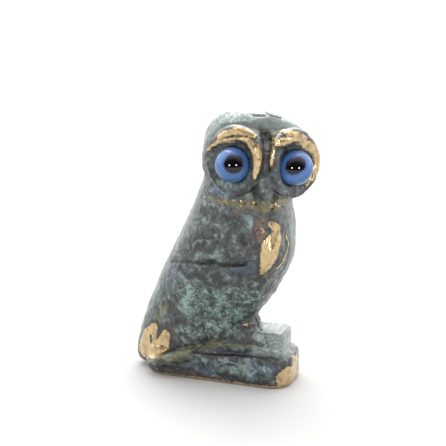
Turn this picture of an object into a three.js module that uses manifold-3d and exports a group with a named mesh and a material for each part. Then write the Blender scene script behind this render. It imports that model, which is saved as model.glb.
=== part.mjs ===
// Small bronze owl on its plinth, cast in one, with two glass eye beads set in.
// Millimetres, +Z up. The breast faces -Y, the tail +Y, the owl's right side is -X.
// The origin is the centre of the plinth's flat underside.
import * as THREE from 'three';
import { mergeVertices } from 'three/addons/utils/BufferGeometryUtils.js';
import Module from 'manifold-3d';

const wasm = await Module();
wasm.setup();

// Plinth
const plinthFront = 16.6;
const plinthBack = 18.9;
const plinthWidth = 14;
const plinthHeight = 7.2;
const plinthCornerRadius = 5;
const plinthEdge = 0.6;

// Body outline in the middle plane: [height, distance forward of the origin]
const backLine = [[0, -21.4], [3, -22.6], [6, -22.3], [10, -21.2], [14, -20], [20, -17.6], [27, -14.7],
  [34, -11.2], [41, -7.8], [48, -5.2], [52, -3.6]];
const frontLine = [[0, 12.8], [8.4, 12.3], [11, 10.6], [13, 8.5], [15, 7.1], [17, 8.2], [20, 10.6],
  [25.5, 13.5], [30, 15.4], [34, 15.7], [38, 15.2], [43, 14.6], [48, 12.6], [52, 10.8]];
const halfWidthLine = [[0, 4.2], [5, 6.4], [10, 8], [16, 9.2], [24, 10.1], [32, 10.5], [38, 10.3],
  [43, 9.6], [48, 8.2], [52, 6.8]];
const bodyBottom = 1.2;
const bodyTop = 50;
const bodyRows = 32;
const bodySides = 48;
const bodySquareness = 2.35;

// Coverts: the upper wing stands proud of the lower one above this step
const stepHeight = 28.8;
const stepProud = 0.45;
const stepBand = 0.35;
const stepFlank = [0.25, 0.6];

// Rounded covert feathers above the step: [distance forward, height, radius]
const featherPads = [[-2, 32.3, 2.7], [5.6, 32.2, 2.2]];
const featherProud = 0.45;

// Seam down the back, where the folded wings meet
const seamBottom = 10;
const seamTop = 41;
const seamFade = 4;
const seamDepth = 0.5;
const seamTurn = 0.13;

// Breast bosses, one towards each side of the front
const bossHeight = 34;
const bossTall = 5.4;
const bossAcross = 2.6;
const bossProud = 1;
const bossBearing = THREE.MathUtils.degToRad(43);
const bossDistance = 12;

// Lower edge of the wings: [distance forward, height], with the narrower legs beneath it
const wingHem = [[-26, 0], [-20.5, 1], [-12, 5.5], [-5.5, 8.4], [1, 12], [6, 15.6], [10, 20], [14, 25]];
const hemBand = 2.6;

// Legs and feet
const legHalfWidthLine = [[0, 6.2], [9, 5.9], [14, 6], [24, 7.6]];
const toeFront = 14.7;
const toeBack = 6;
const toeTop = 12.6;
const toeWidth = 8.6;
const toeCornerRadius = 1.6;
const toeEdge = 0.8;

// Tail feathers that lie against the plinth's sides
const tailFront = 4;
const tailBack = 19.3;
const tailWidth = 16.6;
const tailThickness = 2.4;
const tailCornerRadius = 3.4;
const tailEdge = 0.9;
const tailSlope = THREE.MathUtils.degToRad(19);
const tailFrontHeight = 7.1;

// Head, turned towards the owl's right
const headCentre = new THREE.Vector3(0, -8.1, 53.2);
const headTurn = THREE.MathUtils.degToRad(-68);
const headTilt = THREE.MathUtils.degToRad(4);
const headRoll = THREE.MathUtils.degToRad(3.4);
const skullWidth = 25.4;
const skullBackDepth = 11;
const skullFaceDepth = 9;
const skullHeight = 21.5;
const skullShift = -0.8;
const skullRoll = THREE.MathUtils.degToRad(9);
const crownLean = 1.3;
const skullSquareness = 2.45;
const faceSharpness = 1.5;

// Facial discs
const discRadius = 7.6;
const discSpread = 7.2;
const discForward = 6.8;
const discDrop = 0;
const discSplay = THREE.MathUtils.degToRad(40);
const discSegments = 36;
const dishDepth = 9;
const dishMargin = 0.5;
const browReach = 1.5;
const browProud = 0.5;
const browAngle = THREE.MathUtils.degToRad(52);
const browBreadth = THREE.MathUtils.degToRad(34);

// Brow bars, raised on the upper edge of each disc: [turn upward from the beak's side, radius] in the disc
const browBarLine = [[40, 9.5], [72, 8.2], [120, 7.3]];
const browBarWidth = 1.7;
const browBarDepth = 2.4;
const browBarSet = 0.35;

// Eye beads
const beadDiameter = 8;
const beadGap = 0.3;
const beadSink = -0.1;
const beadDrop = 0.45;
const beadInward = 0.35;

// Bridge between the discs, and the beak at its foot
const bridgeWidth = 5.4;
const bridgeHeight = 16;
const bridgeForward = 10.9;
const bridgeDrop = 3;
const beakLength = 6.4;
const beakWidth = 2.7;
const beakDepth = 2;
const beakHook = 1.5;
const beakHookAt = 0.75;
const beakTaper = 0.3;
const beakForward = 9.8;
const beakDrop = 4.5;

function solidFrom(geometry) {
  const bare = geometry.clone();
  bare.deleteAttribute('normal');
  bare.deleteAttribute('uv');
  const merged = mergeVertices(bare, 1e-4);
  const mesh = new wasm.Mesh({
    numProp: 3,
    vertProperties: new Float32Array(merged.attributes.position.array),
    triVerts: new Uint32Array(merged.index.array),
  });
  return new wasm.Manifold(mesh);
}

function geometryFrom(solid) {
  const { vertProperties, triVerts } = solid.getMesh();
  const geometry = new THREE.BufferGeometry();
  geometry.setAttribute('position', new THREE.BufferAttribute(new Float32Array(vertProperties), 3));
  geometry.setIndex(new THREE.BufferAttribute(new Uint32Array(triVerts), 1));
  geometry.computeVertexNormals();
  return geometry;
}

function mapVertices(geometry, place) {
  const position = geometry.attributes.position;
  const point = new THREE.Vector3();
  for (let i = 0; i < position.count; i += 1) {
    point.fromBufferAttribute(position, i);
    place(point);
    position.setXYZ(i, point.x, point.y, point.z);
  }
  return geometry;
}

// Smooth curve through [position, value] pairs
function along(line, at) {
  const last = line.length - 1;
  let i = 0;
  while (i < last - 1 && at > line[i + 1][0]) i += 1;
  const [x0, y0] = line[i];
  const [x1, y1] = line[i + 1];
  const span = x1 - x0;
  const slope = (a, b) => (line[b][1] - line[a][1]) / (line[b][0] - line[a][0]);
  const m0 = slope(Math.max(i - 1, 0), i + 1);
  const m1 = slope(i, Math.min(i + 2, last));
  const t = THREE.MathUtils.clamp((at - x0) / span, 0, 1);
  const rise = t * t * (3 - 2 * t);
  return y0 + (y1 - y0) * rise + span * (m0 * t * (1 - t) ** 2 - m1 * t * t * (1 - t));
}

function roundPower(value, squareness) {
  return Math.sign(value) * Math.abs(value) ** (2 / squareness);
}

function bump(distance) {
  return Math.exp(-distance * distance);
}

// How much of the wings' width is left: all above the hem, the legs' width beneath it
function widthUnderHem(forward, height) {
  const hem = along(wingHem, forward);
  const above = THREE.MathUtils.smoothstep(height, hem - hemBand, hem + hemBand);
  const narrow = Math.min(along(legHalfWidthLine, height) / along(halfWidthLine, height), 1);
  return THREE.MathUtils.lerp(narrow, 1, above);
}

function bodyRelief(angle, height, forward) {
  const rise = THREE.MathUtils.smoothstep(height, stepHeight - stepBand, stepHeight + stepBand);
  const sideways = THREE.MathUtils.smoothstep(Math.abs(Math.cos(angle)), ...stepFlank);
  const tall = (height - bossHeight) / bossTall;
  const turn = Math.PI / 2 - Math.abs(angle - Math.PI / 2);
  const across = (turn - bossBearing) * bossDistance / bossAcross;
  const boss = angle > 0 ? bossProud * bump(tall) * bump(across) : 0;
  let feathers = 0;
  for (const [padForward, padHeight, radius] of featherPads) {
    const away = Math.hypot(forward - padForward, height - padHeight) / radius;
    feathers += featherProud * bump(away * away) * sideways;
  }
  const seamLength = THREE.MathUtils.smoothstep(height, seamBottom, seamBottom + seamFade)
    * (1 - THREE.MathUtils.smoothstep(height, seamTop - seamFade, seamTop));
  const seam = seamDepth * bump((angle + Math.PI / 2) / seamTurn) * seamLength;
  return rise * stepProud * sideways + boss + feathers - seam;
}

// Level sections from the plinth to the neck, each with its front, back and half width
function body() {
  const geometry = new THREE.CylinderGeometry(1, 1, 1, bodySides, bodyRows);
  mapVertices(geometry, (point) => {
    const radius = Math.hypot(point.x, point.z);
    const angle = Math.atan2(point.z, point.x);
    const height = bodyBottom + (point.y + 0.5) * (bodyTop - bodyBottom);
    const front = along(frontLine, height);
    const back = along(backLine, height);
    const lengthwise = roundPower(Math.sin(angle), bodySquareness);
    const relief = bodyRelief(angle, height, (front + back) / 2 + (front - back) / 2 * lengthwise);
    const reach = ((front - back) / 2 + relief) * lengthwise;
    const side = (along(halfWidthLine, height) + relief) * roundPower(Math.cos(angle), bodySquareness);
    const forward = (front + back) / 2 + reach * radius;
    point.set(side * radius * widthUnderHem(forward, height), -forward, height);
  });
  return solidFrom(geometry);
}

function roundedBlock(front, back, width, radius, edge, height) {
  const x = width / 2 - radius;
  const shape = new THREE.Shape();
  shape.absarc(x, front - radius, radius, 0, Math.PI / 2);
  shape.absarc(-x, front - radius, radius, Math.PI / 2, Math.PI);
  shape.absarc(-x, -back + radius, radius, Math.PI, Math.PI * 1.5);
  shape.absarc(x, -back + radius, radius, Math.PI * 1.5, Math.PI * 2);
  const geometry = new THREE.ExtrudeGeometry(shape, {
    depth: height - 2 * edge,
    bevelSize: edge,
    bevelThickness: edge,
    bevelOffset: -edge,
    bevelSegments: 2,
    curveSegments: 6,
  });
  geometry.translate(0, 0, edge);
  return mapVertices(geometry, (point) => point.set(-point.x, -point.y, point.z));
}

function plinth() {
  return solidFrom(roundedBlock(plinthFront, plinthBack, plinthWidth, plinthCornerRadius, plinthEdge,
    plinthHeight));
}

function toes() {
  return solidFrom(roundedBlock(toeFront, -toeBack, toeWidth, toeCornerRadius, toeEdge, toeTop));
}

function tail() {
  const length = tailBack - tailFront;
  const geometry = roundedBlock(0, length, tailWidth, tailCornerRadius, tailEdge, tailThickness);
  geometry.translate(0, 0, -tailThickness / 2);
  geometry.rotateX(-tailSlope);
  geometry.translate(0, tailFront, tailFrontHeight);
  return solidFrom(geometry);
}

function headMatrix() {
  const turn = new THREE.Matrix4().makeRotationZ(headTurn);
  const tilt = new THREE.Matrix4().makeRotationX(-headTilt);
  const roll = new THREE.Matrix4().makeRotationY(headRoll);
  return new THREE.Matrix4().setPosition(headCentre).multiply(turn).multiply(tilt).multiply(roll);
}

function skull() {
  const geometry = new THREE.SphereGeometry(1, 34, 20);
  geometry.rotateX(Math.PI / 2);
  mapVertices(geometry, (point) => {
    const facing = Math.max(-point.y, 0);
    const n = THREE.MathUtils.lerp(skullSquareness, faceSharpness, facing ** 0.5);
    const size = (Math.abs(point.x) ** n + Math.abs(point.y) ** n + Math.abs(point.z) ** n) ** (1 / n);
    const depth = point.y < 0 ? skullFaceDepth : skullBackDepth;
    point.divideScalar(size);
    point.x -= crownLean * Math.max(point.z, 0) * 2 / skullWidth;
    point.multiply(new THREE.Vector3(skullWidth / 2, depth, skullHeight / 2));
  });
  return geometry.rotateY(skullRoll).translate(skullShift, 0, 0);
}

function discMatrix(side) {
  const place = new THREE.Matrix4().setPosition(side * discSpread, -discForward, -discDrop);
  const splay = new THREE.Matrix4().makeRotationZ(side * discSplay);
  return place.multiply(splay);
}

// Profile from the middle of the dish over its rim to the back of the disc. The rim reaches out and
// forward at the upper inner corner, where the brow is.
function facialDisc(side) {
  const profile = [[0, 0.6], [4.3, 0.6], [5.3, 0.3], [5.9, -0.2], [6.6, -0.45], [7.2, -0.15],
    [discRadius, 0.6], [7.4, 1.8], [6.6, 4.6], [5, 7.5], [0, 8.5]];
  const points = profile.map(([radius, depth]) => new THREE.Vector2(radius, depth));
  const geometry = new THREE.LatheGeometry(points, discSegments);
  mapVertices(geometry, (point) => {
    const radius = Math.hypot(point.x, point.z);
    const brow = bump((Math.atan2(point.z, -side * point.x) - browAngle) / browBreadth);
    const edge = THREE.MathUtils.smoothstep(radius, 5, discRadius) * brow;
    const stretch = 1 + edge * browReach / discRadius;
    point.set(point.x * stretch, point.y - edge * browProud, point.z * stretch);
  });
  return geometry.applyMatrix4(discMatrix(side));
}

// A curved bar along the disc's upper edge, fullest in its middle
function browBar(side) {
  const geometry = new THREE.SphereGeometry(1, 8, 14);
  const [start, end] = [browBarLine[0][0], browBarLine[browBarLine.length - 1][0]];
  mapVertices(geometry, (point) => {
    const turn = THREE.MathUtils.lerp(start, end, (point.y + 1) / 2);
    const radius = along(browBarLine, turn) + point.x * browBarWidth / 2;
    const angle = THREE.MathUtils.degToRad(turn);
    const depth = browBarSet - point.z * browBarDepth / 2;
    point.set(-side * radius * Math.cos(angle), depth, radius * Math.sin(angle));
  });
  if (side > 0) geometry.index.array.reverse();
  return geometry.applyMatrix4(discMatrix(side));
}

// The space in front of a disc, cleared of the skull
function discClearance(side) {
  const radius = discRadius - dishMargin;
  const geometry = new THREE.CylinderGeometry(radius, radius, dishDepth, discSegments);
  geometry.translate(0, 1 - dishDepth / 2, 0);
  return geometry.applyMatrix4(discMatrix(side));
}

function bead(side, diameter) {
  const geometry = new THREE.SphereGeometry(diameter / 2, 22, 14);
  geometry.translate(-side * beadInward, beadSink, -beadDrop);
  return geometry.applyMatrix4(discMatrix(side));
}

function bridge() {
  const geometry = new THREE.SphereGeometry(1, 20, 14);
  geometry.rotateX(Math.PI / 2);
  geometry.scale(bridgeWidth / 2, bridgeForward / 2, bridgeHeight / 2);
  return geometry.translate(0, -bridgeForward / 2, -bridgeDrop);
}

// A ridge that leaves the bridge at its top, hooks forward and ends in a blunt point
function beak() {
  const geometry = new THREE.SphereGeometry(1, 16, 14);
  geometry.rotateX(Math.PI / 2);
  return mapVertices(geometry, (point) => {
    const fall = (1 - point.z) / 2;
    const hook = beakHook * (1 - ((fall - beakHookAt) / beakHookAt) ** 2);
    const taper = 1 - beakTaper * fall;
    point.set(
      point.x * beakWidth / 2 * taper,
      point.y * beakDepth * taper - hook - beakForward,
      point.z * beakLength / 2 - beakDrop,
    );
  });
}

function inHead(geometry) {
  return solidFrom(geometry.applyMatrix4(headMatrix()));
}

function head() {
  let form = inHead(skull());
  for (const side of [-1, 1]) form = form.subtract(inHead(discClearance(side)));
  for (const side of [-1, 1]) form = form.add(inHead(facialDisc(side))).add(inHead(browBar(side)));
  return form.add(inHead(bridge())).add(inHead(beak()));
}

function casting() {
  let form = body();
  for (const piece of [toes(), tail(), plinth(), head()]) form = form.add(piece);
  for (const side of [-1, 1]) form = form.subtract(inHead(bead(side, beadDiameter + 2 * beadGap)));
  return form;
}

function named(name, geometry, material) {
  const mesh = new THREE.Mesh(geometry, material);
  mesh.name = name;
  return mesh;
}

const bronze = new THREE.MeshStandardMaterial({ color: '#55625c', roughness: 0.45, metalness: 0.8 });
const blueGlass = new THREE.MeshStandardMaterial({ color: '#4a7cc4', roughness: 0.08, metalness: 0 });

const owl = new THREE.Group();
owl.add(named('owl_casting', geometryFrom(casting()), bronze));
owl.add(named('eye_right', geometryFrom(inHead(bead(-1, beadDiameter))), blueGlass));
owl.add(named('eye_left', geometryFrom(inHead(bead(1, beadDiameter))), blueGlass));

export default owl;
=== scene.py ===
import math

import bmesh
import bpy
import numpy as np
from mathutils import Matrix, Vector, noise
from mathutils.bvhtree import BVHTree


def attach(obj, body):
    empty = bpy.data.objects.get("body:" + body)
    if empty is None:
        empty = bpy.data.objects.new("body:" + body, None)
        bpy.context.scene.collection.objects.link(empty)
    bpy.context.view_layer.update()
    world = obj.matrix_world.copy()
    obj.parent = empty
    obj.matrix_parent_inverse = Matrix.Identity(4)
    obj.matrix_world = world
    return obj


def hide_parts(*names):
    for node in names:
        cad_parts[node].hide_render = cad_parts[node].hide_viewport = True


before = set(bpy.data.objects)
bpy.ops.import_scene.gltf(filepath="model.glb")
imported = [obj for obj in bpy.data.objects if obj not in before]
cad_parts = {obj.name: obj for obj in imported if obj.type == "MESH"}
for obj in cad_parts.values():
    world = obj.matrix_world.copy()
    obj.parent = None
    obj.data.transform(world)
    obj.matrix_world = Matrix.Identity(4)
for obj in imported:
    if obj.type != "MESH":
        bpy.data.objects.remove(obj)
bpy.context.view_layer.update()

mm = 0.001
scene = bpy.context.scene


def linear(hexColour):
    channels = [int(hexColour[i:i + 2], 16) / 255 for i in (1, 3, 5)]
    return [c / 12.92 if c <= 0.04045 else ((c + 0.055) / 1.055) ** 2.4 for c in channels] + [1.0]


def put(tree, kind, inputs=None, **settings):
    node = tree.nodes.new(kind)
    for name, value in settings.items():
        setattr(node, name, value)
    for socket, value in (inputs or {}).items():
        if isinstance(value, bpy.types.NodeSocket):
            tree.links.new(value, node.inputs[socket])
        else:
            node.inputs[socket].default_value = value
    return node


# One layer of a finish: a colour laid over what is under it, where a value passes from low to high
def layer(tree, under, colour, value, low, high, strength=1.0):
    amount = put(tree, "ShaderNodeMapRange", {"Value": value, "From Min": low, "From Max": high,
                                              "To Max": strength}, interpolation_type="SMOOTHSTEP")
    over = linear(colour) if isinstance(colour, str) else colour
    inputs = {0: amount.outputs[0], 6: under, 7: over}
    return put(tree, "ShaderNodeMix", inputs, data_type="RGBA").outputs[2]


# Where a stain, painted light or painted shade lies: the field of that name, shaken by a pattern so that
# its edge breaks up
def ragged(tree, name, pattern, amount):
    field = put(tree, "ShaderNodeAttribute", attribute_name=name).outputs["Fac"]
    centred = put(tree, "ShaderNodeMath", {0: pattern, 1: 0.5}, operation="SUBTRACT").outputs[0]
    inputs = {0: centred, 1: amount, 2: field}
    return put(tree, "ShaderNodeMath", inputs, operation="MULTIPLY_ADD").outputs[0]


# Camera: low and to the owl's right, where the photograph was taken from
cameraSettings = {
    "azimuth": math.radians(-71),
    "elevation": math.radians(17.5),
    "distance": 0.400,
    "lens": 140,
    "sensor": 36,
    "aim": Vector((0, 0.0012, 0.03685)),
    "photoSide": 446,
}


def cameraAxes():
    a, e = cameraSettings["azimuth"], cameraSettings["elevation"]
    back = Vector((math.sin(a) * math.cos(e), -math.cos(a) * math.cos(e), math.sin(e)))
    right = Vector((math.cos(a), math.sin(a), 0))
    return right, back.cross(right), back


def cameraPlace():
    return cameraSettings["aim"] + cameraAxes()[2] * cameraSettings["distance"]


def buildCamera():
    data = bpy.data.cameras.new("camera")
    data.lens = cameraSettings["lens"]
    data.sensor_width = cameraSettings["sensor"]
    data.clip_start = 0.01
    camera = bpy.data.objects.new("camera", data)
    turn = Matrix(cameraAxes()).transposed().to_4x4()
    camera.matrix_world = Matrix.Translation(cameraPlace()) @ turn
    scene.collection.objects.link(camera)
    scene.camera = camera


def photoRay(pixel):
    right, up, back = cameraAxes()
    side = cameraSettings["photoSide"]
    spread = cameraSettings["sensor"] / cameraSettings["lens"] / side
    across = (pixel[0] - side / 2) * spread
    rise = (side / 2 - pixel[1]) * spread
    return cameraPlace(), (right * across + up * rise - back).normalized()


buildCamera()
print("camera placed")


# Head, facial discs and eye beads as the casting has them, in millimetres
headSettings = {
    "centre": (0, -8.1, 53.2),
    "turn": math.radians(-68),
    "tilt": math.radians(4),
    "roll": math.radians(3.4),
    "discSpread": 7.2,
    "discForward": 6.8,
    "discSplay": math.radians(40),
    "beadRadius": 4.0,
    "beadInward": 0.35,
    "beadSink": -0.1,
    "beadDrop": 0.45,
}


def discMatrix(side):
    h = headSettings
    return (Matrix.Translation(h["centre"]) @ Matrix.Rotation(h["turn"], 4, "Z")
            @ Matrix.Rotation(-h["tilt"], 4, "X") @ Matrix.Rotation(h["roll"], 4, "Y")
            @ Matrix.Translation((side * h["discSpread"], -h["discForward"], 0))
            @ Matrix.Rotation(side * h["discSplay"], 4, "Z"))


def beadInDisc(side):
    h = headSettings
    return Vector((-side * h["beadInward"], h["beadSink"], -h["beadDrop"]))


def localTo(matrix, points):
    inverse = np.array(matrix.inverted())
    return points @ inverse[:3, :3].T + inverse[:3, 3]


# The casting: a copy of the solid, remeshed finely enough to carry the cast and chased relief
castingSettings = {
    "voxel": 0.3 * mm,
    "smoothing": 9,
    "lipGap": 0.08,
    "lumpSize": 5.0,
    "lumpHeight": 0.16,
    "dentSize": 1.8,
    "dentHeight": 0.18,
    "grainSize": 0.9,
    "grainHeight": 0.12,
    "neckHeight": 46,
    # The crown's top and the feet are made pale: wiped patina, with painted light on the top
    "crownHeight": 60,
    "footBack": -7.5,
    "footHeights": (7.4, 13.3),
    # Facings that take a painted sheen, on the breast's front edge and on the back
    "breastFacing": (0.33, -0.94, 0),
    "backFacing": (0, 0.8, 0.6),
}


def copyOfNode(name):
    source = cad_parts[name]
    bm = bmesh.new()
    bm.from_mesh(source.data)
    bmesh.ops.remove_doubles(bm, verts=bm.verts, dist=1e-6)
    mesh = bpy.data.meshes.new(name + "_copy")
    bm.to_mesh(mesh)
    bm.free()
    return bpy.data.objects.new(name + "_copy", mesh)


def remeshedCasting():
    rough = copyOfNode("owl_casting")
    scene.collection.objects.link(rough)
    remesh = rough.modifiers.new("remesh", "REMESH")
    remesh.mode = "VOXEL"
    remesh.voxel_size = castingSettings["voxel"]
    smooth = rough.modifiers.new("smooth", "SMOOTH")
    smooth.factor = 0.5
    smooth.iterations = castingSettings["smoothing"]
    evaluated = rough.evaluated_get(bpy.context.evaluated_depsgraph_get())
    mesh = bpy.data.meshes.new_from_object(evaluated)
    mesh.name = "owlCasting"
    bpy.data.objects.remove(rough)
    return mesh


def onSurface(tree, pixel):
    origin, direction = photoRay(pixel)
    hit = tree.ray_cast(origin, direction)[0]
    if hit is None:
        hit = tree.find_nearest(origin + direction * cameraSettings["distance"])[0]
    return np.array(hit) / mm


# Signed millimetres inside a stroke that is drawn over the photograph: [x, y, radius in mm]
def brush(points, tree, stroke, mirrored=False, shrink=0.0):
    places = [onSurface(tree, (x, y)) for x, y, radius in stroke]
    radii = [radius - shrink for x, y, radius in stroke]
    if mirrored:
        places = [p * (-1, 1, 1) for p in places]
    if len(places) == 1:
        return radii[0] - np.linalg.norm(points - places[0], axis=1)
    field = np.full(len(points), -9.0)
    for a, b, ra, rb in zip(places, places[1:], radii, radii[1:]):
        along = b - a
        t = np.clip((points - a) @ along / max(along @ along, 1e-6), 0, 1)
        distance = np.linalg.norm(points - a - t[:, None] * along, axis=1)
        field = np.maximum(field, ra + (rb - ra) * t - distance)
    return field


def swell(field, width):
    t = np.clip(field / width * 0.5 + 0.5, 0, 1)
    return t * t * (3 - 2 * t)


def bump(distance):
    return np.exp(-distance * distance)


def wander(points, size, seed):
    shift = Vector((seed * 7.3, seed * 3.1, seed * 5.7))
    return np.array([noise.noise(Vector(p) + shift) for p in points / size])


def pits(points, size, reach):
    nearest = np.array([noise.voronoi(Vector(p))[0][0] for p in points / size])
    return np.clip(1 - nearest / reach, 0, 1) ** 1.5


# Places rubbed back to bare metal, read off the photograph: strokes of [x pixel, y pixel, radius in mm]
polishMarks = {
    "rightBrowBar": [[219, 137, 0.45], [226, 133.5, 0.8], [238, 131.5, 0.9], [248, 132.5, 0.8],
                     [254.5, 136.5, 0.45]],
    "rightBrowRim": [[206, 153, 0.15], [211, 146.5, 0.3], [218, 141.5, 0.5], [229, 139.5, 0.55],
                     [240, 139.3, 0.6], [248, 141.5, 0.9], [254, 148, 1.15], [256.5, 156, 1.15],
                     [256, 164, 1.0], [255, 171.5, 0.7], [254.5, 178, 0.3]],
    "leftBrowBar": [[272, 136, 0.5], [278, 133.5, 0.75], [287, 133, 0.75], [297, 134.5, 0.7],
                    [305, 138, 0.55]],
    "leftBrowColumn": [[272.5, 141, 0.8], [272, 150, 0.8], [271.5, 158, 0.65], [270.5, 166, 0.35]],
    "leftBrowRim": [[276, 142, 0.8], [284, 141.5, 1.0], [292, 140.5, 1.0], [300, 140.5, 0.85],
                    [308, 144.5, 1.0], [314, 151.5, 1.0], [316.5, 160, 0.8], [315.5, 168.5, 0.8],
                    [311.8, 176.5, 0.75], [307, 184, 0.5]],
    "breast": [[271, 224, 0.7], [277, 229, 1.2], [276, 238, 1.9], [272, 247, 2.4], [270, 256, 2.2],
               [266, 265, 1.5], [262, 273, 0.6]],
    "breastLeaves": [[286, 236, 0.25], [288.5, 244, 0.2], [286.5, 252, 0.3], [283, 260, 0.3],
                     [277, 268, 0.3]],
    "breastLace": [[263, 220, 0.1], [259, 226, 0.0], [264, 231, 0.1], [259, 238, 0.0]],
    "wingTip": [[155, 326, 0.9], [149, 337, 2.2], [145, 350, 2.2], [156, 350, 1.9], [163, 343, 1.6],
                [166, 334, 1.1]],
    "wingTipEdge": [[158, 353, 0.4], [170, 349, 0.1], [180, 346, -0.1]],
    "plinthFront": [[293, 358, 0.7], [294, 370, 1.3], [291.5, 382, 1.6], [287, 387, 1.1]],
    "plinthNose": [[296, 360, 1.6], [296, 372, 2.6], [294, 382, 2.4]],
    "cheekEdge": [[205.5, 154, 0.1], [204.5, 162, 0.0]],
    "hemSpark": [[243, 325, 0.1], [247, 324, 0.3]],
}

# Places in them that stayed dark, and the bites along the lower edges of the brows
darkMarks = {
    "wingTipFork": [[161, 322, 0.9], [159, 331, 0.5]],
    "wingTipHole": [[151, 335, 0.35], [151.5, 342, 0.3]],
    "leftBites": [[278, 150, 0.35], [291, 148.3, 0.4], [301, 147, 0.3]],
    "leftBitesOuter": [[309.5, 153.5, 0.25], [311.8, 163, 0.2], [308.5, 172, 0.25]],
    "rightBites": [[226, 145, 0.4], [238, 144, 0.45]],
    "rightBitesInner": [[248.3, 152, 0.35], [249.5, 161, 0.25], [250.3, 170, 0.25]],
}

# Polish repeated on the hidden left side, drawn in by so many millimetres
mirroredPolish = {"wingTip": 0.3, "wingTipEdge": 0.1, "breast": 0.6, "plinthNose": 0.0}

# Stains of the patina, in the same strokes. The shade strokes are painted shade, the glint strokes painted
# highlights, some dirt strokes painted shade, and the lime stroke on the tail leaf a painted highlight
tintMarks = {
    "teal": [
        [[180, 290, 3.0], [205, 305, 5.5], [235, 300, 4.5], [255, 300, 3.5]],
        [[190, 330, 3.0], [225, 320, 4.0], [250, 312, 3.0]],
        [[262, 222, 1.6], [244, 218, 1.8]],
        [[230, 368, 1.5], [262, 374, 2.4], [281, 370, 1.6]],
        [[287, 285, 2.0], [262, 312, 1.5]],
    ],
    "slate": [
        [[168, 285, 2.0], [175, 268, 1.4]],
        [[232, 268, 1.0], [252, 268, 2.0]],
        [[215, 353, 1.0], [245, 353, 1.3], [262, 357, 0.9]],
        [[250, 368, 1.4], [268, 372, 2.2], [280, 370, 1.6]],
        [[195, 366, 1.3], [215, 372, 1.5]],
        [[215, 190, 1.5], [232, 195, 1.8]],
    ],
    "umber": [
        [[251, 235, 1.3], [248, 250, 1.5]],
        [[235, 212, 1.6], [248, 210, 1.3]],
        [[205, 295, 1.2]],
        [[240, 285, 1.2]],
        [[245, 297, 1.1], [254, 290, 0.9]],
        [[222, 335, 1.1]],
        [[173, 333, 1.4], [166, 322, 1.2]],
        [[205, 230, 1.5]],
        [[185, 368, 1.2], [200, 372, 1.2]],
        [[155, 366, 0.9]],
        [[266, 134, 1.3], [266.5, 150, 1.1], [267, 172, 0.9]],
    ],
    "olive": [
        [[158, 318, 1.6], [165, 305, 1.3]],
        [[205, 345, 1.2], [222, 342, 1.7], [236, 346, 1.3], [256, 348, 0.9]],
        [[151, 362.5, 1.4], [164, 359.5, 2.0], [180, 354, 2.0], [199, 346, 1.4]],
        [[207, 196, 0.8], [225, 203, 1.5], [245, 204.5, 2.0], [262, 207, 1.8], [280, 203, 2.2],
         [290, 200, 1.6]],
    ],
    "lime": [
        [[168, 262, 0.1], [166.5, 270, 0.4], [164, 279, 0.1]],
        [[215, 338, 0.3], [224, 342, 0.6]],
        [[240, 326, 0.2], [252, 323, 0.4]],
        # Painted highlight along the tail leaf's ridge
        [[160, 359, 0.1], [180, 353.5, 0.2], [192, 348, 0.1]],
        [[276, 202, 0.4], [287, 200, 0.5]],
    ],
    # Painted shade above the brows
    "shade": [
        [[222, 125.5, 0.5], [238, 124, 0.6], [252, 126, 1.0], [262, 124, 1.8], [278, 124, 1.9],
         [292, 126.5, 1.1], [303, 131, 0.6]],
    ],
    # Painted highlights: along the beak's ridge and on the plinth's raised arcs
    "glint": [
        [[263.4, 184, 0.1], [263, 190, 0.2], [262.6, 198, 0.1]],
        [[212, 373, 0.1], [218, 365, 0.2], [228, 361.5, 0.2], [238, 364, 0.2], [243, 371, 0.1]],
        [[222, 373, 0.1], [228, 367, 0.15], [235, 368, 0.1]],
    ],
    "copper": [
        [[262, 220, 1.2], [259, 230, 1.4], [261, 240, 1.0]],
        [[172, 339, 0.6], [178, 341, 0.4]],
        [[249, 173, 0.4], [247, 181, 0.5]],
        [[249, 290, 0.5]],
        [[287, 232, 0.5], [290, 246, 0.6], [284, 262, 0.6]],
    ],
    "dirtAndShade": [
        [[258, 219, 1.0], [256, 230, 1.1], [259, 245, 0.9], [258, 262, 0.9], [259, 278, 0.8]],
        [[274, 221, 0.7], [284, 229, 1.0], [288, 243, 1.1], [284, 257, 1.1], [270, 275, 0.9]],
        [[262, 131, 0.9], [266, 134, 1.4], [266, 150, 1.1], [266.5, 172, 1.0]],
        [[155, 322, 1.0], [163, 327, 1.3], [172, 340, 1.1]],
        # Painted shade under the tail leaf
        [[146, 364, 0.6], [170, 362, 0.5], [200, 352, 0.6]],
        [[282, 360, 0.9], [284, 372, 1.0], [279, 384, 0.9]],
        # Painted shade along the edge of the first feather lobe
        [[198, 250, 0.1], [214, 262, 0.2]],
        [[245, 340, 1.2], [262, 345, 0.8]],
        # Painted shade on both sides of the beak, in this stroke and the next
        [[259, 186, 0.7], [260, 200, 0.8]],
        [[267, 188, 0.6], [266, 200, 0.6]],
        # Painted shade under the left disc's rim
        [[270, 192, 0.4], [276, 198, 0.4], [284, 198, 0.3]],
        [[160, 368, 0.9], [185, 370, 1.0], [205, 376, 0.7]],
        # Painted shadow along the plinth's top, under the wing and feet
        [[205, 356, 0.8], [235, 356, 0.7], [262, 358, 0.7], [280, 360, 0.6]],
        # Painted shade in the covert step, in this stroke and the next
        [[184, 262, 0.1], [197, 264, 0.4], [206, 264.8, 0.5], [213, 263, 0.2]],
        [[221, 265, 0.4], [233, 266, 0.5], [246, 264.3, 0.4]],
    ],
}
tintEdges = {"dirtAndShade": 0.55, "copper": 0.5, "lime": 0.8, "glint": 0.2, "shade": 0.7}

collarStroke = [[205, 197, 0.4], [225, 203, 0.9], [245, 204.5, 1.3], [262, 207, 1.2], [280, 203, 1.3],
                [291, 199, 0.9]]

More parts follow.
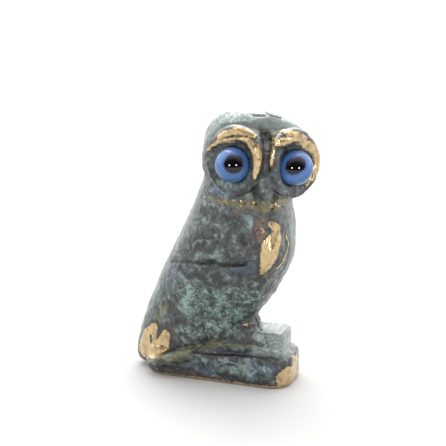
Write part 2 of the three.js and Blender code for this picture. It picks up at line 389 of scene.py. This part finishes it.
# Grooves and ridges: strokes of [x pixel, y pixel, 0], each with its height and its half width in mm
grooves = {
    "covertStep": ([[172, 262, 0], [184, 262, 0], [197, 264, 0], [206, 264.8, 0], [214, 262.5, 0],
                    [221, 265, 0], [233, 266, 0], [244, 264.5, 0], [250, 261, 0]], -0.45, 0.4),
    "covertCut": ([[197, 264, 0], [206, 264.8, 0], [212, 263, 0]], -0.5, 0.45),
    "covertCutFront": ([[221, 265, 0], [233, 266, 0], [244, 264.5, 0]], -0.6, 0.5),
    "featherLine": ([[193, 239, 0], [215, 237.5, 0], [235, 237, 0], [251, 241, 0]], -0.24, 0.3),
    "rightCrease": ([[222, 139, 0], [229, 137, 0], [241, 136.3, 0], [253, 138.5, 0]], -0.3, 0.22),
    "leftCrease": ([[274, 138.5, 0], [281.7, 138.3, 0], [290, 136.8, 0], [303, 139, 0]], -0.3, 0.22),
    "faceChannel": ([[269, 133, 0], [268.7, 150, 0], [268.3, 168, 0]], -0.5, 0.4),
    "faceChannelInner": ([[262, 133, 0], [263.2, 145, 0], [264, 160, 0]], -0.4, 0.4),
    "faceRidge": ([[266, 154, 0], [266.3, 172, 0]], 0.12, 0.28),
    "faceNotch": ([[265.5, 135, 0], [266.5, 150, 0]], -0.75, 0.7),
    "crownGash": ([[253.8, 115.3, 0], [264.5, 115.8, 0]], -0.75, 0.22),
    "crownGashBack": ([[266.5, 112.5, 0], [271, 115.6, 0], [280.5, 117.7, 0]], -0.85, 0.3),
    "legEdge": ([[257, 319, 0], [260.5, 329.5, 0], [265, 338, 0], [268, 348, 0], [270, 354, 0]],
                -0.3, 0.3),
    "wingHem": ([[147, 361.5, 0], [168, 352, 0], [194, 346, 0]], -0.35, 0.3),
    "tailTop": ([[150, 361, 0], [175, 353.5, 0], [198, 345, 0]], -0.3, 0.25),
    "plinthTop": ([[195, 352, 0], [220, 353, 0], [245, 354, 0], [266, 357, 0]], -0.5, 0.45),
    "plinthArc": ([[212, 373, 0], [218, 365, 0], [228, 361.5, 0], [238, 364, 0], [243, 371, 0]],
                  0.22, 0.25),
    "plinthArcInner": ([[222, 373, 0], [228, 367, 0], [235, 368, 0]], 0.18, 0.22),
    "footLump": ([[268, 352, 0], [277, 353, 0]], 0.25, 0.6),
    "legWrinkle": ([[228, 330, 0], [244, 322, 0], [256, 310, 0]], -0.2, 0.5),
    "legWrinkleLow": ([[238, 343, 0], [250, 334, 0], [258, 326, 0]], -0.22, 0.4),
    "breastRidge": ([[279, 230, 0], [277, 240, 0], [271, 252, 0]], 0.2, 0.5),
    "breastFold": ([[268, 236, 0], [264, 250, 0], [265, 262, 0]], -0.16, 0.4),
}

# Raised pads: strokes of [x pixel, y pixel, radius in mm], each with its height and its edge in mm
pads = {
    "featherFirst": ([[200, 249, 2.1], [209, 250.5, 2.3]], 0.3, 0.35),
    "featherSecond": ([[233, 249.5, 2.0], [239, 250, 2.0]], 0.32, 0.35),
    "plinthLump": ([[272, 371, 2.1]], 0.5, 1.3),
    "plinthLumpMiddle": ([[250, 372, 1.3]], 0.35, 0.9),
    "plinthLumpLow": ([[232, 376, 1.0]], 0.25, 0.8),
    "tailLeaf": ([[151, 362.5, 0.5], [164, 359.5, 1.2], [180, 354, 1.25], [199, 346, 0.4]], 0.4, 0.4),
}
browNames = ("rightBrowBar", "leftBrowBar", "rightBrowRim", "leftBrowRim")


def coordinatesOf(mesh, name):
    values = np.empty(len(mesh.vertices) * 3)
    mesh.vertices.foreach_get(name, values)
    return values.reshape(-1, 3)


# A stroke below the neck is repeated on the hidden left side
def bothSides(points, tree, stroke):
    field = brush(points, tree, stroke)
    if onSurface(tree, stroke[0][:2])[2] < castingSettings["neckHeight"]:
        field = np.maximum(field, brush(points, tree, stroke, mirrored=True))
    return field


# Around each bead: its socket, whose ring against the bead is darkened as painted shade; the lid, a band of
# painted shade round the bead, heaviest under the brow; and the disc's rim, which takes a painted
# highlight, with the line inside it
def faceFields(points):
    names = ("socket", "lid", "rim", "rimLine")
    fields = {name: np.zeros(len(points)) for name in names}
    for side in (-1, 1):
        x, y, z = (localTo(discMatrix(side), points) - np.array(beadInDisc(side))).T
        fromBead = np.sqrt(x * x + y * y + z * z)
        radius = np.hypot(x, z)
        onFront = np.clip(1 - y / 1.5, 0, 1)
        lower = np.clip(-z / radius * 1.6 + 0.2, 0, 1) * onFront
        found = {
            "socket": 1 - np.clip((fromBead - 4.3) / 0.45, 0, 1),
            "lid": (1 - np.clip((radius - 4.6) / 2.0, 0, 1)) * onFront * np.clip(0.6 + z / 6, 0.25, 1),
            "rim": bump((radius - 7.1) / 0.3) * lower,
            "rimLine": bump((radius - 6.3) / 0.35) * lower,
        }
        for name in names:
            fields[name] = np.maximum(fields[name], found[name])
    return fields


def polishField(points, tree):
    polish = np.full(len(points), -3.0)
    for name, stroke in polishMarks.items():
        polish = np.maximum(polish, brush(points, tree, stroke))
        if name in mirroredPolish:
            hidden = brush(points, tree, stroke, mirrored=True, shrink=mirroredPolish[name])
            polish = np.maximum(polish, hidden)
    polish = np.maximum(polish, 0.5 - 0.9 * np.abs(points[:, 2] - 0.2))
    for stroke in darkMarks.values():
        polish = np.minimum(polish, -brush(points, tree, stroke))
    return polish


# Clears the casting from the beads: the socket's skin is drawn to a small gap all round
def fitSockets(moved):
    for side in (-1, 1):
        offset = moved - np.array(discMatrix(side) @ beadInDisc(side))
        fromBead = np.linalg.norm(offset, axis=1)
        gap = fromBead - headSettings["beadRadius"] - castingSettings["lipGap"]
        pull = gap * (1 - np.clip((fromBead - 4.35) / 0.9, 0, 1))
        moved -= offset / fromBead[:, None] * pull[:, None]


def sculptCasting(mesh):
    s = castingSettings
    points = coordinatesOf(mesh, "co") / mm
    normals = coordinatesOf(mesh, "normal")
    tree = BVHTree.FromPolygons([v.co for v in mesh.vertices], [p.vertices for p in mesh.polygons])
    height = points[:, 2]
    collar = swell(bothSides(points, tree, collarStroke) + wander(points, 1.5, 9) * 0.5, 0.8)
    polish = polishField(points, tree)
    polished = swell(polish, 0.5)
    face = faceFields(points)
    # The crown's upward faces and the feet: pale from wiped patina, and lighter on top as painted light
    crown = swell(height - s["crownHeight"], 2.5) * np.clip(normals[:, 2] * 1.5, 0, 1)
    soleHeight, toeHeight = s["footHeights"]
    inFoot = np.minimum(s["footBack"] - points[:, 1], np.minimum(height - soleHeight, toeHeight - height))
    wipedAndLit = np.maximum(crown, swell(inFoot, 0.8))
    # Faces turned to the back and the breast's front edge, which take a painted sheen
    onBack = np.clip(normals @ np.array(s["backFacing"]) * 1.6 - 0.5, 0, 1)
    onBreast = np.clip(normals @ np.array(s["breastFacing"]) * 4 - 3, 0, 0.8)

    lumps = wander(points, s["lumpSize"], 1) * s["lumpHeight"]
    dents = wander(points, s["dentSize"], 2) * s["dentHeight"]
    grain = wander(points, s["grainSize"], 3) * s["grainHeight"]
    lift = lumps + (dents + grain) * (1 - 0.5 * polished) * (1 - 0.6 * wipedAndLit) + 0.12 * polished
    for stroke, rise, width in grooves.values():
        lift += rise * bump(bothSides(points, tree, stroke) / width)
    for stroke, rise, width in pads.values():
        field = bothSides(points, tree, stroke)
        lift += rise * swell(field, width) - 0.35 * rise * bump((field + 0.3) / 0.3)
    for name in browNames:
        lift += 0.25 * swell(brush(points, tree, polishMarks[name]), 0.9)
    pitted = pits(points, 1.1, 0.42) * (0.10 + 0.4 * collar) + pits(points + 31, 2.6, 0.16) * 0.25
    lift -= pitted * (1 - 0.3 * polished) * (1 - 0.7 * crown)
    lift += 0.14 * face["rim"] - 0.25 * face["rimLine"]
    lift *= np.clip((height - 0.15) / 0.8, 0, 1) * (1 - face["socket"])

    moved = points + normals * lift[:, None]
    moved[:, 2] = np.maximum(moved[:, 2], 0)
    fitSockets(moved)
    mesh.vertices.foreach_set("co", (moved * mm).ravel())

    fields = {
        "polish": np.clip(polish, -3, 3),
        "socket": face["socket"],
        "lid": face["lid"],
        "rim": face["rim"],
        "hollow": np.clip(-(lift - lumps) / 0.35 - 0.15, 0, 1) * (1 - 0.45 * polished),
        "collar": 2 * collar,
        "high": np.clip(0.5 + (dents + grain) / 0.24, 0, 1),
        "wipedAndLit": wipedAndLit,
        "paintedSheen": np.maximum(onBack, onBreast),
    }
    for tint, strokes in tintMarks.items():
        field = np.max([bothSides(points, tree, stroke) for stroke in strokes], axis=0)
        fields[tint] = np.clip(0.5 + field / (2 * tintEdges.get(tint, 1.2)), 0, 1)
    for name, values in fields.items():
        mesh.attributes.new(name, "FLOAT", "POINT").data.foreach_set("value", values)
    mesh.update()


# Cast bronze, blackened and greened with a chemical patina, waxed, and rubbed back to bare metal on its
# high places. It gives a dark mottled satin skin with ragged bright islands.
# Painted sheen, painted highlights and painted shade are laid into its colour as well.
bronzeSettings = {
    # Each pattern's size in mm, detail, distortion and roughness
    "patterns": {
        "broad": (4.5, 4.0, 0.3, 0.5),
        "mottle": (1.6, 8.0, 0.6, 0.68),
        "stain": (2.2, 6.0, 0.4, 0.6),
        "flake": (0.9, 6.0, 0.8, 0.65),
        "vein": (2.6, 2.5, 1.6, 0.5),
        "speck": (0.45, 3.0, 0.0, 0.5),
        "pore": (0.63, 4.0, 0.5, 0.5),
        "fringe": (0.8, 6.0, 0.5, 0.6),
        "tarnish": (1.1, 5.0, 0.0, 0.5),
        "fleck": (0.75, 3.0, 0.0, 0.5),
        "pitting": (0.6, 2.0, 0.0, 0.5),
        "skinGrain": (0.5, 3.0, 0.0, 0.5),
    },
    "streak": (7.0, 0.5, 0.5),
    "dark": "#12191b",
    "mid": "#454f4e",
    "light": "#7f918c",
    "teal": "#53766f",
    "vein": "#92aca6",
    # pale colour of the wiped patina, also used for the painted sheen
    "hazeAndSheen": "#7b8683",
    "pale": "#a6b1ac",
    "grey": "#57625f",
    "shade": "#33423c",
    # black of the hollows and pores, also used for the painted shade in the bead sockets
    "crevice": "#0d0f10",
    # dark brown of the patina round the rubbed places and of dirt, also used for painted shade round the
    # beads and in gaps
    "border": "#261d19",
    "copper": "#604838",
    "bare": "#cbb388",
    "bareDeep": "#8f6c3e",
    "barePit": "#4a3620",
    # Each stain's colour, raggedness, and the least and greatest field it fades in over
    "stains": {
        "umber": ("#44363a", 4.2, 0.55, 1.05, 0.8),
        "slate": ("#3d4b63", 4.2, 0.55, 1.05, 0.7),
        "olive": ("#63623a", 4.2, 0.55, 1.05, 0.75),
        "lime": ("#a5a24e", 3.0, 0.5, 1.0, 0.85),
    },
    "roughness": (0.24, 0.40),
    "bareGloss": -0.06,
    "coat": 0.45,
    "coatRoughness": 0.12,
    "bumpStrength": 0.9,
    "bumpHeight": 0.22 * mm,
}


def blackenedGround(tree, pattern):
    s = bronzeSettings
    relief = ragged(tree, "high", pattern["broad"], 2.0)
    ground = put(tree, "ShaderNodeMath", {0: relief, 1: 0.3, 2: pattern["mottle"]},
                 operation="MULTIPLY_ADD").outputs[0]
    skin = layer(tree, linear(s["dark"]), s["mid"], ground, 0.53, 0.75)
    return layer(tree, skin, s["light"], ground, 0.73, 0.85, 0.7)


def stained(tree, skin, pattern):
    s = bronzeSettings
    worn = put(tree, "ShaderNodeMix", {0: 0.5, 2: pattern["stain"], 3: pattern["flake"]}).outputs[0]
    for name, (colour, raggedness, low, high, strength) in s["stains"].items():
        where = ragged(tree, name, worn, raggedness)
        skin = layer(tree, skin, colour, where, low, high, strength)
    green = ragged(tree, "teal", worn, 6.0)
    skin = layer(tree, skin, s["teal"], green, 0.95, 1.5, 0.7)
    middle = put(tree, "ShaderNodeMath", {0: pattern["vein"], 1: 0.5}, operation="SUBTRACT").outputs[0]
    fromVein = put(tree, "ShaderNodeMath", {0: middle}, operation="ABSOLUTE").outputs[0]
    onVein = put(tree, "ShaderNodeMath", {0: fromVein, 1: -14.0, 2: green},
                 operation="MULTIPLY_ADD").outputs[0]
    skin = layer(tree, skin, s["vein"], onVein, 0.5, 1.2, 0.7)
    skin = layer(tree, skin, s["light"], pattern["speck"], 0.62, 0.72, 0.5)
    return layer(tree, skin, s["crevice"], pattern["pore"], 0.40, 0.30, 0.8)


# Painted light on the patina: the painted sheen, the pale crown and feet with their streaks, painted shade
# above the brows, and painted highlights on the rims and glint strokes
def paintedLightAndWipedPatina(tree, skin, pattern, place):
    s = bronzeSettings
    # Painted sheen: the pale colour laid on faces turned to the back and on the breast's front edge
    skin = layer(tree, skin, s["hazeAndSheen"], ragged(tree, "paintedSheen", pattern["stain"], 0.8), 0.1, 1.0, 0.6)
    # The crown and feet made pale: wiped patina, with painted light on the crown's top, and pale and grey
    # streaks
    wipedAndLit = ragged(tree, "wipedAndLit", pattern["flake"], 0.7)
    skin = layer(tree, skin, s["hazeAndSheen"], wipedAndLit, 0.25, 0.85, 0.85)
    turned = put(tree, "ShaderNodeMapping", {
        "Vector": place, "Rotation": (0, 0, -cameraSettings["azimuth"]),
        "Scale": [1 / (size * mm) for size in s["streak"]]}).outputs[0]
    streak = put(tree, "ShaderNodeTexNoise", {"Vector": turned, "Scale": 1.0, "Detail": 3.0}).outputs["Fac"]
    lit = put(tree, "ShaderNodeMath", {0: streak, 1: wipedAndLit}, operation="MULTIPLY").outputs[0]
    skin = layer(tree, skin, s["pale"], lit, 0.46, 0.62, 0.7)
    other = put(tree, "ShaderNodeMath", {0: 1.0, 1: streak}, operation="SUBTRACT").outputs[0]
    dull = put(tree, "ShaderNodeMath", {0: other, 1: wipedAndLit}, operation="MULTIPLY").outputs[0]
    skin = layer(tree, skin, s["grey"], dull, 0.52, 0.68, 0.5)
    # Painted shade above the brows
    skin = layer(tree, skin, s["shade"], ragged(tree, "shade", pattern["stain"], 1.2), 0.35, 0.8, 0.8)
    # Painted highlights: along the discs' rims and along the glint strokes, in the vein colour
    skin = layer(tree, skin, s["vein"], ragged(tree, "rim", pattern["flake"], 1.6), 0.5, 1.0, 0.45)
    return layer(tree, skin, s["vein"], ragged(tree, "glint", pattern["flake"], 1.2), 0.4, 1.0, 0.7)


def bareMetal(tree, pattern):
    s = bronzeSettings
    bare = layer(tree, linear(s["bare"]), s["bareDeep"], pattern["tarnish"], 0.42, 0.72, 0.65)
    return layer(tree, bare, s["barePit"], pattern["pitting"], 0.34, 0.28)


def patinatedBronze():
    s = bronzeSettings
    material = bpy.data.materials.new("patinatedBronze")
    material.use_nodes = True
    tree = material.node_tree
    tree.nodes.clear()
    place = put(tree, "ShaderNodeTexCoord").outputs["Object"]
    pattern = {}
    for name, (size, detail, distortion, roughness) in s["patterns"].items():
        pattern[name] = put(tree, "ShaderNodeTexNoise", {
            "Vector": place, "Scale": 1 / (size * mm), "Detail": detail, "Distortion": distortion,
            "Roughness": roughness}).outputs["Fac"]

    skin = stained(tree, blackenedGround(tree, pattern), pattern)
    skin = paintedLightAndWipedPatina(tree, skin, pattern, place)

    # Dark patina around the rubbed places; dirt, with painted shade in gaps, creases and on the beak's
    # sides; painted shade round the beads under the lids; and coppery flakes
    inside = ragged(tree, "polish", pattern["fringe"], 1.3)
    skin = layer(tree, skin, s["border"], inside, -0.7, -0.25, 0.85)
    # Dirt, and painted shade in gaps, creases and on the beak's sides
    skin = layer(tree, skin, s["border"], ragged(tree, "dirtAndShade", pattern["flake"], 2.0), 0.5, 0.9, 0.85)
    # Painted shade round each bead, heaviest under the brow
    skin = layer(tree, skin, s["border"], ragged(tree, "lid", pattern["flake"], 1.2), 0.3, 0.75, 0.85)
    skin = layer(tree, skin, s["copper"], ragged(tree, "copper", pattern["flake"], 4.5), 0.75, 1.1)

    # The bare metal, in the rubbed places and as flecks on the collar
    rubbed = put(tree, "ShaderNodeMapRange", {"Value": inside, "From Min": -0.08, "From Max": 0.08})
    flecks = ragged(tree, "collar", pattern["fleck"], 9.0)
    flecked = put(tree, "ShaderNodeMapRange", {"Value": flecks, "From Min": 2.3, "From Max": 2.9})
    bared = put(tree, "ShaderNodeMath", {0: rubbed.outputs[0], 1: flecked.outputs[0]},
                operation="MAXIMUM").outputs[0]
    colour = put(tree, "ShaderNodeMix", {0: bared, 6: skin, 7: bareMetal(tree, pattern)},
                 data_type="RGBA").outputs[2]
    # Crevice black in the hollows, and painted shade in the socket's ring against each bead
    for name in ("hollow", "socket"):
        deep = put(tree, "ShaderNodeAttribute", attribute_name=name).outputs["Fac"]
        colour = layer(tree, colour, s["crevice"], deep, 0.0, 1.0, 0.85)

    low, high = s["roughness"]
    worn = put(tree, "ShaderNodeMapRange", {"Value": pattern["stain"], "From Min": 0.3, "From Max": 0.7,
                                            "To Min": low, "To Max": high}).outputs[0]
    gloss = put(tree, "ShaderNodeMath", {0: bared, 1: s["bareGloss"], 2: worn},
                operation="MULTIPLY_ADD").outputs[0]
    wipedAndLit = put(tree, "ShaderNodeAttribute", attribute_name="wipedAndLit").outputs["Fac"]
    calm = put(tree, "ShaderNodeMath", {0: bared, 1: wipedAndLit}, operation="MAXIMUM").outputs[0]
    rest = put(tree, "ShaderNodeMath", {0: calm, 1: -0.7, 2: 1.0}, operation="MULTIPLY_ADD").outputs[0]
    rough = put(tree, "ShaderNodeMath", {0: pattern["skinGrain"], 1: pattern["mottle"]},
                operation="ADD").outputs[0]
    grainHeight = put(tree, "ShaderNodeMath", {0: rough, 1: rest}, operation="MULTIPLY").outputs[0]
    grain = put(tree, "ShaderNodeBump", {"Height": grainHeight, "Strength": s["bumpStrength"],
                                         "Distance": s["bumpHeight"]}).outputs[0]
    shader = put(tree, "ShaderNodeBsdfPrincipled", {
        "Base Color": colour, "Metallic": bared, "Roughness": gloss, "Normal": grain,
        "Coat Weight": s["coat"], "Coat Roughness": s["coatRoughness"], "Coat Normal": grain})
    put(tree, "ShaderNodeOutputMaterial", {"Surface": shader.outputs[0]})
    return material


castingMesh = remeshedCasting()
sculptCasting(castingMesh)
castingMesh.materials.clear()
castingMesh.materials.append(patinatedBronze())
castingMesh.polygons.foreach_set("use_smooth", [True] * len(castingMesh.polygons))
casting = bpy.data.objects.new("owlCasting", castingMesh)
scene.collection.objects.link(casting)
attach(casting, "root")
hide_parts("owl_casting")
print("casting sculpted:", len(castingMesh.polygons), "faces")


# Eye beads: opaque glass wound and painted in rings at the flame, fire-polished to a bright gloss
beadSettings = {
    "outer": "#3a5d87",
    "iris": "#4469a6",
    "inner": "#2f4f88",
    "streak": "#748bc0",
    "low": "#2f5a84",
    "pupil": "#020205",
    "right": {"side": -1, "node": "eye_right", "gaze": (0.2, 0.09), "pupil": (2.13, 2.1), "lean": 0,
              "shaded": 1.0},
    "left": {"side": 1, "node": "eye_left", "gaze": (-0.1, 0.42), "pupil": (2.35, 1.75),
             "lean": math.radians(32), "shaded": 0.35},
}


def lampworkedGlass():
    s = beadSettings
    material = bpy.data.materials.new("lampworkedGlass")
    material.use_nodes = True
    tree = material.node_tree
    tree.nodes.clear()
    place = put(tree, "ShaderNodeTexCoord").outputs["Object"]
    ring = put(tree, "ShaderNodeAttribute", attribute_name="ring").outputs["Fac"]
    shaded = put(tree, "ShaderNodeAttribute", attribute_name="shaded").outputs["Fac"]
    swirl = put(tree, "ShaderNodeTexNoise", {"Vector": place, "Scale": 1 / (2.2 * mm), "Detail": 2.0})
    shaken = put(tree, "ShaderNodeMath", {0: swirl.outputs["Fac"], 1: 0.2, 2: ring},
                 operation="MULTIPLY_ADD").outputs[0]
    winding = put(tree, "ShaderNodeTexNoise", {"W": shaken, "Scale": 6.0, "Detail": 2.0},
                  noise_dimensions="1D").outputs["Fac"]
    blue = layer(tree, linear(s["inner"]), s["iris"], shaken, 1.22, 1.42)
    blue = layer(tree, blue, s["outer"], shaken, 1.68, 1.92)
    blue = layer(tree, blue, s["streak"], winding, 0.5, 0.64, 0.3)
    # Painted shade: each bead darker towards its bottom
    blue = layer(tree, blue, s["low"], shaded, 0.2, 1.0)
    colour = layer(tree, linear(s["pupil"]), blue, shaken, 1.05, 1.17)
    shader = put(tree, "ShaderNodeBsdfPrincipled", {"Base Color": colour, "Roughness": 0.05, "IOR": 1.5})
    put(tree, "ShaderNodeOutputMaterial", {"Surface": shader.outputs[0]})
    return material


def eyeBead(name, eye, material):
    radius = headSettings["beadRadius"]
    right, up, back = cameraAxes()
    centre = discMatrix(eye["side"]) @ beadInDisc(eye["side"])
    aside, above = eye["gaze"]
    forward = math.sqrt(radius ** 2 - aside ** 2 - above ** 2)
    gaze = (right * aside + up * above + back * forward).normalized()
    turn = gaze.to_track_quat("Z", "Y").to_matrix().to_4x4()
    bm = bmesh.new()
    bmesh.ops.create_uvsphere(bm, u_segments=72, v_segments=48, radius=radius * mm,
                              matrix=Matrix.Translation(centre * mm) @ turn)
    mesh = bpy.data.meshes.new(name)
    bm.to_mesh(mesh)
    bm.free()

    # The pupil's oval, and how low each place is on the bead, for painted shade towards its bottom
    offset = coordinatesOf(mesh, "co") / mm - np.array(centre)
    depth = offset @ np.array(gaze)
    across = offset @ np.array(right) - gaze.dot(right) * depth
    rise = offset @ np.array(up) - gaze.dot(up) * depth
    c, n = math.cos(eye["lean"]), math.sin(eye["lean"])
    long, short = eye["pupil"]
    ring = np.hypot((across * c + rise * n) / long, (rise * c - across * n) / short)
    fields = {"ring": np.where(depth > 0, ring, 3),
              "shaded": np.clip(-rise / radius, 0, 1) * eye["shaded"]}
    for key, values in fields.items():
        mesh.attributes.new(key, "FLOAT", "POINT").data.foreach_set("value", values)
    mesh.polygons.foreach_set("use_smooth", [True] * len(mesh.polygons))
    mesh.materials.append(material)
    bead = bpy.data.objects.new(name, mesh)
    scene.collection.objects.link(bead)
    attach(bead, "root")
    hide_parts(eye["node"])


glass = lampworkedGlass()
eyeBead("eyeBeadRight", beadSettings["right"], glass)
eyeBead("eyeBeadLeft", beadSettings["left"], glass)
print("eye beads set")


# Studio: a white paper sweep, white all round but for the side the camera is on
studioSettings = {
    "floorRadius": 4.0,
    "paper": "#c2c2c1",
    "target": Vector((0, 0, 0.03)),
    "white": 2.3,
    "cameraSide": 0.11,
    "darkTo": -0.57,
    "whiteFrom": 0.3,
    # Each lamp's bearing from the camera, elevation, distance, size and power
    "lamps": {
        "panel": (math.radians(186), math.radians(52), 0.7, 0.5, 3.0),
        "boxLeft": (math.radians(-22.5), math.radians(15), 0.5, 0.05, 0.6),
        "boxRight": (math.radians(22.5), math.radians(15), 0.5, 0.05, 0.6),
    },
}


def softbox(name, place, target, size, power):
    data = bpy.data.lights.new(name, "AREA")
    data.shape = "SQUARE"
    data.size = size
    data.energy = power
    light = bpy.data.objects.new(name, data)
    turn = (target - place).to_track_quat("-Z", "Y").to_matrix().to_4x4()
    light.matrix_world = Matrix.Translation(place) @ turn
    scene.collection.objects.link(light)


def paperSweep():
    s = studioSettings
    bm = bmesh.new()
    bmesh.ops.create_circle(bm, cap_ends=True, segments=64, radius=s["floorRadius"])
    mesh = bpy.data.meshes.new("paperSweep")
    bm.to_mesh(mesh)
    bm.free()
    paper = bpy.data.materials.new("mattPaper")
    paper.use_nodes = True
    skin = paper.node_tree.nodes["Principled BSDF"]
    skin.inputs["Base Color"].default_value = linear(s["paper"])
    skin.inputs["Roughness"].default_value = 0.9
    skin.inputs["Specular IOR Level"].default_value = 0.1
    mesh.materials.append(paper)
    floor = bpy.data.objects.new("paperSweep", mesh)
    scene.collection.objects.link(floor)


def buildStudio():
    s = studioSettings
    a = cameraSettings["azimuth"]
    for name, (bearing, elevation, distance, size, power) in s["lamps"].items():
        level = math.cos(elevation)
        out = Vector((math.sin(a + bearing) * level, -math.cos(a + bearing) * level, math.sin(elevation)))
        softbox(name, s["target"] + out * distance, s["target"], size, power)

    world = bpy.data.worlds.new("studio")
    world.use_nodes = True
    scene.world = world
    tree = world.node_tree
    direction = put(tree, "ShaderNodeTexCoord").outputs["Generated"]
    behind = (-math.sin(a), math.cos(a), 0.3)
    facing = put(tree, "ShaderNodeVectorMath", {0: direction, 1: behind}, operation="DOT_PRODUCT")
    level = put(tree, "ShaderNodeMapRange", {
        "Value": facing.outputs["Value"], "From Min": s["darkTo"], "From Max": s["whiteFrom"],
        "To Min": s["cameraSide"], "To Max": s["white"]}, interpolation_type="SMOOTHSTEP")
    tree.links.new(level.outputs[0], tree.nodes["Background"].inputs["Strength"])
    tree.nodes["Background"].inputs["Color"].default_value = (1, 1, 1, 1)


paperSweep()
buildStudio()
scene.view_settings.view_transform = "Standard"
print("studio lit")
